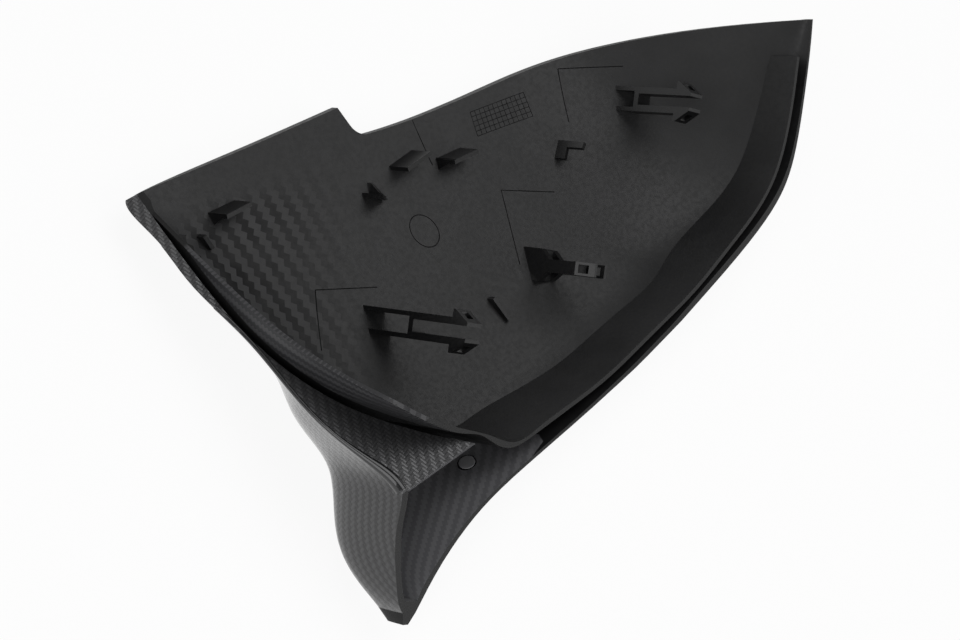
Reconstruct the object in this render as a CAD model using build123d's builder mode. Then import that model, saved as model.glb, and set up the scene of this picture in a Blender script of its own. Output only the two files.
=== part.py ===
import os
from math import cos, hypot, radians, sin

from build123d import *

# Modelling frame: Z is the way the clips point, and the glass rim lies on Z = 0

# Front skin
skin = 2.2
rim_bearing = 39.0
floor_depth = 31.2
floor_fall = 0.61
crown = 6.0
crown_half = 55.0
crown_middle = 35.0
tip_start = 120.0
tip_radius = 66.0
horn_start = -38.0
horn_radius = 13.0
knee = 5.0
heel = 0.085
parting_heel = 0.3
fullness = 0.8
headroom = 26.0
far = 400.0

# Each rung of the skin: rim point and far edge point, then the edge's level and the inset of its heel
horn_rungs = [
    ((-20.8, -50.5), (-26.2, -50.8), 0.0, 0.3),
    ((-17.2, -44.3), (-29.8, -45.0), 0.0, 0.4),
    ((-12.5, -37.0), (-31.8, -38.5), 0.0, 0.8),
    ((2.0, -20.7), (-33.6, -26.0), 0.0, 4.5),
    ((21.8, -6.0), (-34.0, -14.0), -2.0, 4.0),
    ((44.0, 8.7), (-46.1, -1.2), -20.7, 10.0),
    ((60.0, 19.7), (-55.6, 18.9), -44.1, 20.0),
    ((70.0, 26.8), (-65.0, 33.6), -62.2, 22.0),
    ((77.0, 32.2), (-69.2, 44.5), -73.8, 22.0),
    ((84.0, 37.7), (-73.4, 54.9), -85.0, 22.0),
]
parting_rungs = [
    ((91.5, 43.7), (-62.0, 84.0)),
    ((101.0, 52.0), (-25.0, 108.0)),
    ((115.6, 64.9), (40.0, 124.0)),
    ((128.2, 77.2), (64.0, 138.0)),
    ((139.4, 92.2), (84.0, 152.0)),
    ((143.4, 106.6), (100.0, 166.0)),
    ((144.3, 124.0), (113.0, 178.0)),
    ((143.7, 145.0), (125.0, 186.0)),
    ((143.2, 166.0), (136.0, 192.0)),
]
pocket_end = ((-18.3, -47.0), (-28.4, -47.6), 0.0, 1.2)
horn_tip = ((-23.4, -54.0), (-25.6, -54.1), 0.0, 0.6)

# Parting edge with its notch
parting_start = (-73.2, 55.7)
notch_tip = (1.0, 94.5)
notch_foot = (7.0, 86.6)
notch_fillet = 5.0
parting_middle = (71.4, 117.9)
parting_bow = (108.7, 136.8)
parting_end = (142.0, 149.3)

# Collar round the opening, set off from the skin by a slot
collar = 1.4
slot = 2.1
set_off_steps = 26
opening_points = [
    (138.9, 160.0), (138.2, 122.0), (136.9, 107.5), (133.2, 94.5), (124.5, 81.2), (112.7, 69.0),
    (96.5, 53.3), (75.4, 36.8), (55.2, 21.7), (37.0, 10.8), (22.0, 2.2), (12.0, -1.8), (4.5, -0.8),
    (-1.5, 1.2), (-11.0, 1.4), (-19.0, 2.4), (-30.0, 4.9), (-40.0, 8.8), (-47.0, 13.8), (-53.0, 20.4),
    (-57.2, 28.0), (-61.0, 37.4), (-68.0, 60.0),
]
collar_end = 136.0
collar_hip = (-37.0, 7.5)
collar_bearing = 123.0
collar_fall = 57.0
collar_ease = 8.0
collar_reach = 60.0

# Ledge over the horn
ledge = 2.2
ledge_corner = (-3.2, -0.1)
ledge_bearing = 119.2
ledge_fall = 46.0

# Snap clips: middle on the plan, turn, level of the tips, width, flare of the foot
clips = [
    (1.4, 30.3, 0.0, -11.0, 6.6, 0.0),
    (62.2, 54.6, 90.0, -13.5, 4.2, 3.1),
    (103.2, 114.4, 0.0, -15.0, 6.6, 0.0),
]
clip_gap = 3.8
prong = 2.2
prong_length = 22.0
bridge = 1.8
barb = 2.5
barb_length = 6.0
window = 2.7
foot_wall = 1.4
foot_top = 18.0
foot_slant = 3.5

# Stop ribs: both ends on the plan, height at each end
ribs = [
    ((17.1, 78.6), (25.1, 84.2), 8.6, 8.6),
    ((34.2, 83.4), (34.2, 80.6), 8.6, 0.4),
    ((34.2, 83.4), (42.6, 87.7), 8.6, 8.2),
    ((77.9, 91.1), (79.6, 95.1), 4.5, 4.5),
    ((79.6, 95.1), (80.0, 96.0), 11.2, 11.2),
    ((-46.3, 55.3), (-45.3, 53.0), 8.0, 0.4),
    ((-46.3, 55.3), (-38.4, 59.6), 8.0, 7.4),
    ((-60.4, 47.1), (-56.8, 47.4), 2.5, 2.5),
    ((-51.7, 47.9), (-49.8, 45.6), 4.0, 4.0),
    ((5.8, 68.3), (11.0, 68.3), 9.5, 3.0),
    ((8.2, 68.3), (8.2, 71.7), 7.6, 2.0),
    ((41.8, 41.3), (45.0, 36.3), 1.0, 1.0),
]
rib = 1.4

# Lying pose, open side up on the front skin
lie_bearing = 127.4
lie_fall = 33.8


def floor_level(x, y):
    along = x * cos(radians(rim_bearing)) + y * sin(radians(rim_bearing))
    across = y * cos(radians(rim_bearing)) - x * sin(radians(rim_bearing))
    level = -floor_depth - floor_fall * across
    level -= crown * (1 - ((across - crown_middle) / crown_half) ** 2)
    level += max(0.0, along - tip_start) ** 2 / (2 * tip_radius)
    level += max(0.0, horn_start - along) ** 2 / (2 * horn_radius)
    return level


def rung_section(rung, inset=0.0, reach=0.0, roof=headroom):
    rim, edge = rung[:2]
    length = hypot(edge[0] - rim[0], edge[1] - rim[1])
    run = ((edge[0] - rim[0]) / length, (edge[1] - rim[1]) / length)
    edge_level, heel_inset = rung[2:] or (floor_level(*edge) - skin, parting_heel * length)
    rise = 1.17 * inset - skin
    near = 1.1 * inset
    span = length - near + reach
    back = span - heel_inset
    ease = min(1.0, length / 40)

    def level(distance):
        return floor_level(rim[0] + run[0] * distance, rim[1] + run[1] * distance) + rise

    lip = Vector(near, 0)
    rim_knee = Vector(near, level(near) - knee * ease)
    centre = Vector((near + back) / 2, level((near + back) / 2))
    edge_heel = Vector(back, level(back) - heel * ease * (edge_level - level(span)))
    edge_point = Vector(span, edge_level)
    end = edge_point * 1.3 - edge_heel * 0.3
    lie = (edge_heel - rim_knee).normalized()
    with BuildSketch(Plane(rim, x_dir=(*run, 0), z_dir=(run[1], -run[0], 0))) as section:
        with BuildLine():
            Bezier(lip, rim_knee, centre - lie * ((centre - rim_knee).length * fullness), centre)
            Bezier(centre, centre + lie * ((edge_heel - centre).length * fullness), edge_heel, edge_point)
            Polyline(edge_point, end, (end.X, roof), (near, roof), lip)
        make_face()
    return section.sketch


def falling_plane(point, bearing, fall):
    lean = (sin(radians(fall)) * cos(radians(bearing)), sin(radians(fall)) * sin(radians(bearing)))
    return Plane(point, x_dir=(sin(radians(bearing)), -cos(radians(bearing)), 0),
                 z_dir=(*lean, cos(radians(fall))))


ledge_plane = falling_plane(ledge_corner, ledge_bearing, ledge_fall)
fall_run = (cos(radians(collar_bearing)), sin(radians(collar_bearing)))
collar_slope = Vector(cos(radians(collar_fall)), -sin(radians(collar_fall)))

# All that lies beyond the parting edge
with BuildPart() as beyond:
    with BuildSketch(Plane.XY.offset(headroom)) as parting:
        with BuildLine():
            Line(parting_start, notch_tip)
            Line(notch_tip, notch_foot)
            Spline(notch_foot, parting_middle, parting_bow, parting_end)
            Polyline(parting_end, (parting_end[0] + 40, parting_end[1] + 16), (170, 260), (-160, 260),
                     (parting_start[0] - 74, parting_start[1] - 38.8), parting_start)
        make_face()
        fillet(parting.vertices().sort_by_distance((*notch_foot, 0))[0], radius=notch_fillet)
    extrude(amount=-far)

# Filled body between the front skin and the rim plane, cut off at the parting edge
with BuildPart() as body:
    loft([rung_section(rung) for rung in horn_rungs + parting_rungs])
    loft([rung_section(horn_tip), rung_section(horn_rungs[0])], ruled=True)
    with BuildSketch():
        Rectangle(far, far)
    extrude(amount=far, mode=Mode.SUBTRACT)
    add(beyond.part, mode=Mode.SUBTRACT)


def room(inset):
    with BuildPart() as space:
        loft([rung_section(rung, inset, roof=2 * headroom) for rung in [pocket_end] + horn_rungs[1:]]
             + [rung_section(rung, inset, 10.0, 2 * headroom) for rung in parting_rungs])
    return space.part


inside = room(skin)
bed = room(skin / 2)


def set_off(line, distance):
    points = []
    for number in range(set_off_steps + 1):
        place = number / set_off_steps
        heading = line % place
        points.append(line @ place + Vector(-heading.Y, heading.X) * distance)
    return Spline(points)


# Collar's plan, and the ground that the ledge covers outside the slot
with BuildSketch() as collar_ring:
    with BuildLine():
        outer_line = Spline(opening_points)
        inner_line = set_off(outer_line, -collar)
        Line(outer_line @ 0, inner_line @ 0)
        Line(outer_line @ 1, inner_line @ 1)
    make_face()
    with Locations((parting_end[0], collar_end)):
        Rectangle(60, 60, align=(Align.CENTER, Align.MIN), mode=Mode.SUBTRACT)
with BuildSketch() as ledge_ground:
    with BuildLine():
        Polyline((0, -70), (0, 10), (-60, 75), (-130, 75), (-130, -70), close=True)
    make_face()
    with BuildLine():
        slot_line = set_off(outer_line, slot)
        Polyline(slot_line @ 1, (-90, 240), (150, 240), slot_line @ 0)
    make_face(mode=Mode.SUBTRACT)

with BuildPart() as above_ledge:
    add(ledge_ground.sketch.moved(Location((0, 0, headroom))))
    extrude(amount=-far)
    with BuildSketch(ledge_plane):
        Rectangle(far, far)
    extrude(amount=-far, mode=Mode.SUBTRACT)

# Skin alone, hollowed on both sides of the horn's root
with BuildPart() as shell:
    add(body.part)
    add(above_ledge.part, mode=Mode.SUBTRACT)
    split(bisect_by=Plane.XZ.offset(20), keep=Keep.BOTH)
    add(inside, mode=Mode.SUBTRACT)

# Ledge plate from the horn's mouth down to the parting corner
with BuildPart() as ledge_plate:
    with BuildSketch(ledge_plane):
        Rectangle(far, far, align=(Align.CENTER, Align.MIN))
    extrude(amount=-ledge)
    with BuildSketch():
        add(ledge_ground.sketch)
    extrude(amount=far, both=True, mode=Mode.INTERSECT)
    add(beyond.part, mode=Mode.SUBTRACT)
    add(bed, mode=Mode.INTERSECT)

# Collar wall, level along the glass and falling towards the parting corner
with BuildPart() as collar_wall:
    with BuildSketch():
        add(collar_ring.sketch)
    extrude(amount=-far)
    add(beyond.part, mode=Mode.SUBTRACT)
    with BuildSketch(Plane(collar_hip, x_dir=(*fall_run, 0), z_dir=(fall_run[1], -fall_run[0], 0))):
        with BuildLine():
            Bezier((-collar_ease, 0), (0, 0), collar_slope * collar_ease)
            Polyline(collar_slope * collar_ease, collar_slope * far, (far, headroom),
                     (-collar_ease, headroom), (-collar_ease, 0))
        make_face()
    extrude(amount=collar_reach, both=True, mode=Mode.SUBTRACT)
    add(bed, mode=Mode.INTERSECT)


def clip(x, y, turn, tip_level, width, flare):
    across = (-sin(radians(turn)), cos(radians(turn)), 0)
    along = (cos(radians(turn)), sin(radians(turn)), 0)
    tip = (x, y, tip_level)
    inner = clip_gap / 2
    outer = inner + prong
    half = width / 2
    with BuildPart() as piece:
        with BuildSketch(Plane(tip, x_dir=across, z_dir=along)):
            with BuildLine():
                Polyline((inner, 0), (inner + prong / 2, 0), (outer + barb, 0.8 - barb_length),
                         (outer + barb, -barb_length), (outer, -barb_length), (outer, -far),
                         (outer - foot_wall, -far), (outer - foot_wall, -prong_length),
                         (inner, -prong_length), close=True)
            make_face()
            mirror(about=Plane.YZ)
            with Locations((0, -prong_length)):
                Rectangle(2 * (outer - foot_wall), bridge)
        extrude(amount=half + flare, both=True)
        with BuildSketch(Plane(tip, x_dir=along, z_dir=tuple(-part for part in across))):
            with BuildLine():
                Polyline((0, 0), (half, 0), (half, -foot_top), (half + flare, -foot_top - foot_slant),
                         (half + flare, -far), (0, -far), close=True)
            make_face()
            mirror(about=Plane.YZ)
            with Locations((0, -barb_length / 2)):
                Rectangle(window, window, mode=Mode.SUBTRACT)
        extrude(amount=2 * outer, both=True, mode=Mode.INTERSECT)
        add(bed, mode=Mode.INTERSECT)
    return piece.part


def stop_rib(start, finish, start_height, finish_height):
    length = hypot(finish[0] - start[0], finish[1] - start[1])
    run = ((finish[0] - start[0]) / length, (finish[1] - start[1]) / length, 0)
    with BuildPart() as piece:
        with BuildSketch(Plane(start, x_dir=run, z_dir=(run[1], -run[0], 0))):
            with BuildLine():
                Polyline((-rib / 2, -far), (-rib / 2, floor_level(*start) + start_height),
                         (length + rib / 2, floor_level(*finish) + finish_height),
                         (length + rib / 2, -far), close=True)
            make_face()
        extrude(amount=rib / 2, both=True)
        add(bed, mode=Mode.INTERSECT)
    return piece.part


# One moulding
with BuildPart() as cover:
    for half in shell.solids():
        add(half)
    for piece in [ledge_plate.part, collar_wall.part]:
        add(piece)
    for row in clips:
        add(clip(*row))
    for row in ribs:
        add(stop_rib(*row))

# Laid down with the middle of its box over the origin
with BuildPart() as mirror_cover:
    laid = cover.solid().moved(falling_plane((0, 0, 0), lie_bearing, lie_fall).location.inverse())
    box = laid.bounding_box()
    add(laid.moved(Location((-box.center().X, -box.center().Y, -box.min.Z))))

mirror_cover.part.label = "mirror_cover"
os.makedirs("parts", exist_ok=True)
export_step(mirror_cover.part, "parts/mirror_cover.step")
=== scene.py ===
"""Looks of a wing mirror cover: lacquered carbon-look skin, moulded plastic inside, plain studio."""
import logging
import math
from dataclasses import dataclass, field
from enum import IntEnum

import bmesh
import bpy
import numpy as np
from mathutils import Matrix, Vector


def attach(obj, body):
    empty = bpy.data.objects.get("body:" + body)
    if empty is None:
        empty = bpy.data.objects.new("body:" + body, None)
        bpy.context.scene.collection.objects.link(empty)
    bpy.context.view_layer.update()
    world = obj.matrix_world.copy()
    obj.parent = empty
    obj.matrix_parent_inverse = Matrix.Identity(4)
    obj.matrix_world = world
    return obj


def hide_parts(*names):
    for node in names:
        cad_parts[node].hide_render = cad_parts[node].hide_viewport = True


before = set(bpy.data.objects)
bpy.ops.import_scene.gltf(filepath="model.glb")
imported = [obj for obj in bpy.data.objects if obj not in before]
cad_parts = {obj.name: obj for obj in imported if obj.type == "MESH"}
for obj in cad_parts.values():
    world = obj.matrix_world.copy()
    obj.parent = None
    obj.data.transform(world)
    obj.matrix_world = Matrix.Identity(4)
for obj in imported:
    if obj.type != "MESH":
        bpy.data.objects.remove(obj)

log = logging.getLogger("mirror_cover")
Grid = np.ndarray
Colour = tuple[float, float, float, float]
Place = tuple[float, float, float]
Span = tuple[float, float]

MM = 0.001
WELD = 1e-7
TINY = 1e-12
NODE = "mirror_cover"
BODY = "root"
WEAVE_MAP = "weave"
MIST = "lacquer_mist"


class Face(IntEnum):
    """Which finish a face of the cover carries, in the order of the material slots."""

    PLASTIC = 0
    LACQUER = 1
    POCKET = 2
    EDGE = 3
    STANDING = 4
    COLLAR = 5
    LEDGE = 6


def spin(degrees: float) -> Grid:
    """Plan rotation by an angle in degrees, for row vectors."""
    angle = math.radians(degrees)
    return np.array([[math.cos(angle), math.sin(angle)], [-math.sin(angle), math.cos(angle)]])


def ease(values: Grid, low: float, high: float) -> Grid:
    """Smooth step from 0 at low to 1 at high."""
    share = np.clip((values - low) / (high - low), 0, 1)
    return share * share * (3 - 2 * share)


def unit(vectors: Grid) -> Grid:
    """Vectors brought to length one."""
    return vectors / np.linalg.norm(vectors, axis=-1, keepdims=True)


def quads(rows: int, columns: int, first: int = 0) -> Grid:
    """Faces of a grid of points, row by row, from a first vertex number."""
    at = first + np.arange(rows * columns).reshape(rows, columns)
    return np.stack([at[:-1, :-1], at[1:, :-1], at[1:, 1:], at[:-1, 1:]], axis=-1).reshape(-1, 4)


def piece(name: str, points: Grid, faces: Grid, finish: bpy.types.Material) -> bpy.types.Object:
    """Makes a smooth piece that rides on the root body, with the seams of its grid welded.

    Args:
        name: The piece's name.
        points: Array (n, 3) in row-frame metres.
        faces: Array (m, 4) of vertex numbers.
        finish: The material that it wears.

    Returns:
        The new object, at the origin.
    """
    mesh = bpy.data.meshes.new(name)
    mesh.from_pydata(points.tolist(), [], faces.tolist())
    welded = bmesh.new()
    welded.from_mesh(mesh)
    bmesh.ops.remove_doubles(welded, verts=welded.verts, dist=WELD)
    welded.to_mesh(mesh)
    welded.free()
    mesh.shade_smooth()
    mesh.materials.append(finish)
    thing = bpy.data.objects.new(name, mesh)
    bpy.context.scene.collection.objects.link(thing)
    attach(thing, BODY)
    log.info("%s: %d faces", name, len(faces))
    return thing


@dataclass(frozen=True)
class MouldFrame:
    """The frame the cover is moulded in: rim at level zero, clips along the third axis, millimetres."""

    bearing: float = 127.4
    fall: float = 33.8
    shift: Place = (-75.76202, -48.80949, 31.21045)

    def turn(self) -> Grid:
        """Rotation that lays the cover down: the plane that falls along the bearing becomes level.

        Returns:
            Array (3, 3) whose rows are the row frame's axes in the mould frame.
        """
        bearing, fall = math.radians(self.bearing), math.radians(self.fall)
        down = np.array([math.cos(bearing), math.sin(bearing), 0.0])
        side = np.array([math.sin(bearing), -math.cos(bearing), 0.0])
        normal = math.cos(fall) * np.array([0.0, 0.0, 1.0]) + math.sin(fall) * down
        return np.stack([side, np.cross(normal, side), normal])

    def into(self, points: Grid) -> Grid:
        """Row-frame metres to mould-frame millimetres."""
        return (points / MM - np.array(self.shift)) @ self.turn()

    def out(self, points: Grid) -> Grid:
        """Mould-frame millimetres to row-frame metres."""
        return (points @ self.turn().T + np.array(self.shift)) * MM


@dataclass(frozen=True)
class FrontSkin:
    """The outer skin as a surface of two parameters, from the same rungs that the mould was lofted on.

    The first parameter runs from the horn's tip to the far end, the second across a rung from rim to edge.
    """

    skin: float = 2.2
    rim_bearing: float = 39.0
    floor_depth: float = 31.2
    floor_fall: float = 0.61
    crown: float = 6.0
    crown_width: float = 55.0
    crown_place: float = 35.0
    tip_start: float = 120.0
    tip_radius: float = 66.0
    horn_start: float = -38.0
    horn_radius: float = 13.0
    knee: float = 5.0
    heel: float = 0.085
    parting_heel: float = 0.3
    fullness: float = 0.8
    full_length: float = 40.0
    grid_steps: tuple[int, int] = (90, 61)
    probe: float = 1e-4
    longest_step: Span = (0.05, 0.2)
    horn_rungs: tuple = (
        ((-20.8, -50.5), (-26.2, -50.8), 0.0, 0.3), ((-17.2, -44.3), (-29.8, -45.0), 0.0, 0.4),
        ((-12.5, -37.0), (-31.8, -38.5), 0.0, 0.8), ((2.0, -20.7), (-33.6, -26.0), 0.0, 4.5),
        ((21.8, -6.0), (-34.0, -14.0), -2.0, 4.0), ((44.0, 8.7), (-46.1, -1.2), -20.7, 10.0),
        ((60.0, 19.7), (-55.6, 18.9), -44.1, 20.0), ((70.0, 26.8), (-65.0, 33.6), -62.2, 22.0),
        ((77.0, 32.2), (-69.2, 44.5), -73.8, 22.0), ((84.0, 37.7), (-73.4, 54.9), -85.0, 22.0),
    )
    parting_rungs: tuple = (
        ((91.5, 43.7), (-62.0, 84.0)), ((101.0, 52.0), (-25.0, 108.0)), ((115.6, 64.9), (40.0, 124.0)),
        ((128.2, 77.2), (64.0, 138.0)), ((139.4, 92.2), (84.0, 152.0)), ((143.4, 106.6), (100.0, 166.0)),
        ((144.3, 124.0), (113.0, 178.0)), ((143.7, 145.0), (125.0, 186.0)),
        ((143.2, 166.0), (136.0, 192.0)),
    )

    def rung_count(self) -> int:
        """How many rungs the skin has."""
        return len(self.horn_rungs) + len(self.parting_rungs)

    def floor_level(self, places: Grid) -> Grid:
        """Level of the floor at plan places.

        It falls evenly across the rim's bearing, with a parabolic crown, and curls up at both ends.

        Args:
            places: Array (..., 2) of plan places in millimetres.

        Returns:
            Array of levels in millimetres.
        """
        bearing = math.radians(self.rim_bearing)
        along = places[..., 0] * math.cos(bearing) + places[..., 1] * math.sin(bearing)
        across = places[..., 1] * math.cos(bearing) - places[..., 0] * math.sin(bearing)
        level = -self.floor_depth - self.floor_fall * across
        level = level - self.crown * (1 - ((across - self.crown_place) / self.crown_width) ** 2)
        level = level + np.maximum(0, along - self.tip_start) ** 2 / (2 * self.tip_radius)
        return level + np.maximum(0, self.horn_start - along) ** 2 / (2 * self.horn_radius)

    def controls(self) -> Grid:
        """Seven control points a rung: two cubic arcs that share the middle one.

        Returns:
            Array (rungs, 7, 3) in mould-frame millimetres.
        """
        horn, parting = self.horn_rungs, self.parting_rungs
        rim = np.array([rung[0] for rung in horn + parting])
        edge = np.array([rung[1] for rung in horn + parting])
        length = np.linalg.norm(edge - rim, axis=1)
        run = (edge - rim) / length[:, None]
        free = self.floor_level(edge[len(horn):]) - self.skin
        edge_level = np.concatenate([[rung[2] for rung in horn], free])
        heel_inset = np.concatenate([[rung[3] for rung in horn], self.parting_heel * length[len(horn):]])
        growth = np.minimum(1, length / self.full_length)
        back = length - heel_inset

        def level(distance: Grid) -> Grid:
            """Outer floor level at a distance along each rung."""
            return self.floor_level(rim + run * distance[:, None]) - self.skin

        start = np.zeros_like(length)
        knee = np.stack([start, level(start) - self.knee * growth], axis=1)
        centre = np.stack([back / 2, level(back / 2)], axis=1)
        heel_drop = self.heel * growth * (edge_level - level(length))
        heel = np.stack([back, level(back) - heel_drop], axis=1)
        lie = (heel - knee) / np.linalg.norm(heel - knee, axis=1, keepdims=True)
        near = self.fullness * np.linalg.norm(centre - knee, axis=1, keepdims=True)
        further = self.fullness * np.linalg.norm(heel - centre, axis=1, keepdims=True)
        lip = np.stack([start, start], axis=1)
        brink = np.stack([length, edge_level], axis=1)
        before, after = centre - lie * near, centre + lie * further
        flat = np.stack([lip, knee, before, centre, after, heel, brink], axis=1)
        return np.concatenate([rim[:, None] + run[:, None] * flat[..., :1], flat[..., 1:]], axis=2)

    def bends(self, values: Grid) -> Grid:
        """Second differences of the natural cubic spline that passes through evenly spaced values.

        Args:
            values: Array (rungs, m), one row a rung.

        Returns:
            Array of the same shape, with nothing at both ends.
        """
        count = len(values)
        beside = np.ones(count - 1)
        rows = np.diag(np.full(count, 4.0)) + np.diag(beside, 1) + np.diag(beside, -1)
        rows[0], rows[-1] = np.eye(count)[0], np.eye(count)[-1]
        turn = np.zeros_like(values)
        turn[1:-1] = 6 * (values[2:] - 2 * values[1:-1] + values[:-2])
        return np.linalg.solve(rows, turn)

    def surface(self, along: Grid, across: Grid) -> Grid:
        """Points of the skin: each control point follows a natural cubic spline from rung to rung.

        Args:
            along: Places from tip to far end, 0 to 1.
            across: Places from rim to edge, 0 to 2, where 1 is the middle of the rung.

        Returns:
            Array (n, 3) in mould-frame millimetres.
        """
        controls = self.controls()
        values = controls.reshape(len(controls), -1)
        bends = self.bends(values)
        place = along * (len(values) - 1)
        low = np.clip(np.floor(place).astype(int), 0, len(values) - 2)
        after = (place - low)[:, None]
        before = 1 - after
        mixed = before * values[low] + after * values[low + 1]
        mixed = mixed + ((before**3 - before) * bends[low] + (after**3 - after) * bends[low + 1]) / 6
        points = mixed.reshape(-1, *controls.shape[1:])
        first = across < 1
        share = np.where(first, across, across - 1)[:, None]
        arc = np.where(first[:, None, None], points[:, :4], points[:, 3:])
        rest = 1 - share
        return (arc[:, 0] * rest**3 + 3 * arc[:, 1] * share * rest**2
                + 3 * arc[:, 2] * share**2 * rest + arc[:, 3] * share**3)

    def locate(self, points: Grid, rounds: int = 14) -> tuple[Grid, Grid, Grid]:
        """Nearest place on the skin for each point, by Gauss-Newton steps from the nearest grid place.

        Args:
            points: Array (n, 3) in mould-frame millimetres.
            rounds: How many steps are taken.

        Returns:
            Along, across and the distance left, one of each a point.
        """
        axes = np.linspace(0, 1, self.grid_steps[0]), np.linspace(0, 2, self.grid_steps[1])
        grid_along, grid_across = (axis.ravel() for axis in np.meshgrid(*axes, indexing="ij"))
        grid = self.surface(grid_along, grid_across)
        reach = (grid**2).sum(1)[None] - 2 * points @ grid.T
        best = reach.argmin(1)
        along, across = grid_along[best], grid_across[best]
        most_along, most_across = self.longest_step
        for _ in range(rounds):
            here = self.surface(along, across)
            step_along = np.where(along + self.probe > 1, -self.probe, self.probe)
            step_across = np.where(across + self.probe > 2, -self.probe, self.probe)
            slope_a = (self.surface(along + step_along, across) - here) / step_along[:, None]
            slope_b = (self.surface(along, across + step_across) - here) / step_across[:, None]
            miss = points - here
            aa, ab, bb = (slope_a**2).sum(1), (slope_a * slope_b).sum(1), (slope_b**2).sum(1)
            ma, mb = (slope_a * miss).sum(1), (slope_b * miss).sum(1)
            area = aa * bb - ab**2 + TINY
            move_along = np.clip((bb * ma - ab * mb) / area, -most_along, most_along)
            move_across = np.clip((aa * mb - ab * ma) / area, -most_across, most_across)
            along, across = np.clip(along + move_along, 0, 1), np.clip(across + move_across, 0, 2)
        return along, across, np.linalg.norm(points - self.surface(along, across), axis=1)

    def weave_places(self, along: Grid, across: Grid, steps: int = 24) -> Grid:
        """Cloth coordinates: the rung's middle in plan, plus its run times the arc length from the middle.

        Args:
            along: Places from tip to far end.
            across: Places from rim to edge.
            steps: Chords that the arc is measured with.

        Returns:
            Array (n, 2) in millimetres.
        """
        middle = np.ones_like(across)
        start = self.surface(along, 0 * middle)[:, :2]
        run = self.surface(along, 2 * middle)[:, :2] - start
        run = run / np.linalg.norm(run, axis=1, keepdims=True)
        shares = np.linspace(0, 1, steps + 1)
        chords = [self.surface(along, 1 + (across - 1) * share) for share in shares]
        arc = sum(np.linalg.norm(b - a, axis=1) for a, b in zip(chords, chords[1:]))
        centre = self.surface(along, middle)[:, :2]
        return centre + run * (np.sign(across - 1) * arc)[:, None]


@dataclass
class NodeBoard:
    """A material's node tree, with short ways to add and join nodes."""

    name: str
    tree: bpy.types.NodeTree = field(init=False)
    material: bpy.types.Material = field(init=False)
    shader: bpy.types.Node = field(init=False)

    def __post_init__(self) -> None:
        """Starts a material that holds only its Principled shader and output."""
        self.material = bpy.data.materials.new(self.name)
        self.material.use_nodes = True
        self.tree = self.material.node_tree
        self.shader = self.tree.nodes["Principled BSDF"]

    def add(self, kind: str, **settings: object) -> bpy.types.Node:
        """Adds a node and sets its properties.

        Args:
            kind: The node's type.
            settings: Its properties by name.

        Returns:
            The new node.
        """
        node = self.tree.nodes.new(kind)
        for key, value in settings.items():
            setattr(node, key, value)
        return node

    def feed(self, socket: bpy.types.NodeSocket, value: object) -> None:
        """Joins a socket to another, or sets it to a plain value.

        Args:
            socket: The input that is fed.
            value: An output socket, a number or a colour.
        """
        if isinstance(value, bpy.types.NodeSocket):
            self.tree.links.new(value, socket)
        else:
            socket.default_value = value

    def math(self, operation: str, *values: object) -> bpy.types.NodeSocket:
        """One Math node on up to three sockets or numbers.

        Args:
            operation: The node's operation.
            values: What it works on.

        Returns:
            The result's socket.
        """
        node = self.add("ShaderNodeMath", operation=operation)
        for socket, value in zip(node.inputs, values):
            self.feed(socket, value)
        return node.outputs[0]

    def mix(self, share: object, first: object, second: object) -> bpy.types.NodeSocket:
        """Straight mix of two numbers.

        Args:
            share: How much of the second is taken.
            first: Number or socket at share 0.
            second: Number or socket at share 1.

        Returns:
            The mixed number's socket.
        """
        node = self.add("ShaderNodeMix", data_type="FLOAT")
        self.feed(node.inputs[0], share)
        self.feed(node.inputs[2], first)
        self.feed(node.inputs[3], second)
        return node.outputs[0]

    def blend(self, share: object, first: object, second: object) -> bpy.types.NodeSocket:
        """Straight mix of two colours.

        Args:
            share: How much of the second is taken.
            first: Colour or socket at share 0.
            second: Colour or socket at share 1.

        Returns:
            The mixed colour's socket.
        """
        node = self.add("ShaderNodeMix", data_type="RGBA")
        self.feed(node.inputs[0], share)
        self.feed(node.inputs[6], first)
        self.feed(node.inputs[7], second)
        return node.outputs[2]

    def noise(self, vector: bpy.types.NodeSocket, scale: float, detail: float) -> bpy.types.NodeSocket:
        """Noise as a number from 0 to 1.

        Args:
            vector: Socket of the places.
            scale: How many grains lie on a unit of length.
            detail: How many finer layers are added.

        Returns:
            The noise's socket.
        """
        node = self.add("ShaderNodeTexNoise")
        self.feed(node.inputs["Vector"], vector)
        node.inputs["Scale"].default_value = scale
        node.inputs["Detail"].default_value = detail
        return node.outputs["Fac"]

    def between(self, value: object, low: float, high: float) -> bpy.types.NodeSocket:
        """Smooth step between two levels.

        Args:
            value: The number that is stepped.
            low: Level that gives 0.
            high: Level that gives 1.

        Returns:
            The step's socket.
        """
        node = self.add("ShaderNodeMapRange", interpolation_type="SMOOTHSTEP")
        for socket, number in zip(node.inputs, (value, low, high, 0.0, 1.0)):
            self.feed(socket, number)
        return node.outputs[0]

    def bump(self, height: bpy.types.NodeSocket, depth: float, strength: float) -> bpy.types.NodeSocket:
        """Normal of a height field.

        Args:
            height: Socket of heights from 0 to 1.
            depth: What a height of 1 stands for, in metres.
            strength: Share of the tilt that is kept.

        Returns:
            The normal's socket.
        """
        node = self.add("ShaderNodeBump")
        node.inputs["Strength"].default_value = strength
        node.inputs["Distance"].default_value = depth
        self.feed(node.inputs["Height"], height)
        return node.outputs["Normal"]


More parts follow.
